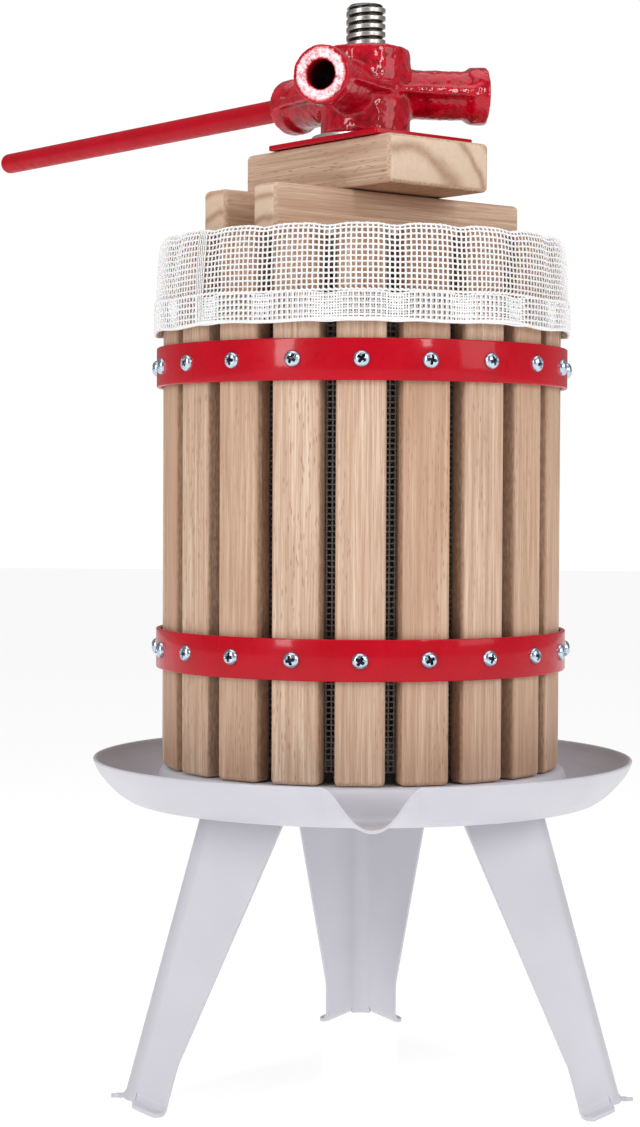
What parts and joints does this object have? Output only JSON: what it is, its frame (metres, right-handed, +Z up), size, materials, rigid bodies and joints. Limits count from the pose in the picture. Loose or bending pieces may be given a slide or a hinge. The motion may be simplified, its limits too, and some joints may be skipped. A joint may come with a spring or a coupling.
{
  "type": "basket wine press",
  "caption": "Slatted wood basket on a three-legged tray, with a threaded spindle and a cast head turned by a bar that pushes wood blocks and boards down.",
  "frame": {"origin": "middle of the whole press's bounding box, on the floor under the feet", "axes": "+Z up along the spindle, +X to the right, +Y to the back; the pouring lip is at the front"},
  "size_m": [0.3642, 0.4218, 0.5499],
  "materials": {
    "stand_paint": "pale grey powder coat",
    "red_paint": "glossy red enamel",
    "red_casting": "glossy red enamel over rough cast iron",
    "red_bar": "satin red enamel",
    "beech": "sanded bare beech",
    "bag_mesh": "open white polyester mesh",
    "spindle_steel": "oiled steel thread",
    "zinc": "bright zinc plate"
  },
  "bodies": {
    "stand": {"tray": "stand_paint", "leg_back": "stand_paint", "leg_left": "stand_paint", "leg_right": "stand_paint", "leg_bolt_back_1": "stand_paint", "leg_bolt_back_2": "stand_paint", "leg_bolt_left_1": "stand_paint", "leg_bolt_left_2": "stand_paint", "leg_bolt_right_1": "stand_paint", "leg_bolt_right_2": "stand_paint", "leg_nut_back_1": "zinc", "leg_nut_back_2": "zinc", "leg_nut_left_1": "zinc", "leg_nut_left_2": "zinc", "leg_nut_right_1": "zinc", "leg_nut_right_2": "zinc", "spindle": "spindle_steel", "spindle_nut_upper": "zinc", "spindle_nut_lower": "zinc", "spindle_washer": "zinc"},
    "basket": {"stave_01": "beech", "stave_02": "beech", "stave_03": "beech", "stave_04": "beech", "stave_05": "beech", "stave_06": "beech", "stave_07": "beech", "stave_08": "beech", "stave_09": "beech", "stave_10": "beech", "stave_11": "beech", "stave_12": "beech", "stave_13": "beech", "stave_14": "beech", "stave_15": "beech", "stave_16": "beech", "stave_17": "beech", "stave_18": "beech", "stave_19": "beech", "stave_20": "beech", "band_upper": "red_paint", "band_lower": "red_paint", "press_bag": "bag_mesh"},
    "press_stack": {"press_board_left": "beech", "press_board_right": "beech", "lower_block_back": "beech", "lower_block_front": "beech", "upper_block": "beech", "thrust_plate": "red_paint", "thrust_washer": "zinc"},
    "press_head": {"press_head": "red_casting"},
    "handle": {"handle_bar": "red_bar"}
  },
  "joints": [
    {"name": "basket_lift", "type": "slide", "parent": "stand", "child": "basket", "axis": [0, 0, 1], "range_m": [0, 0.028]},
    {"name": "press_travel", "type": "slide", "parent": "stand", "child": "press_stack", "axis": [0, 0, 1], "range_m": [-0.0401, 0.0161]},
    {"name": "head_turn", "type": "hinge", "parent": "press_stack", "child": "press_head", "pos_m": [0.04437, -0.06322, 0.5054], "axis": [0, 0, 1], "range_deg": [-3600, 1440]},
    {"name": "bar_slide", "type": "slide", "parent": "press_head", "child": "handle", "axis": [-0.6347, 0.7727, 0], "range_m": [0, 0.045]}
  ],
  "couplings": [
    {"joint": "press_travel", "follows": "head_turn", "m_per_rad": 0.00063662}
  ]
}
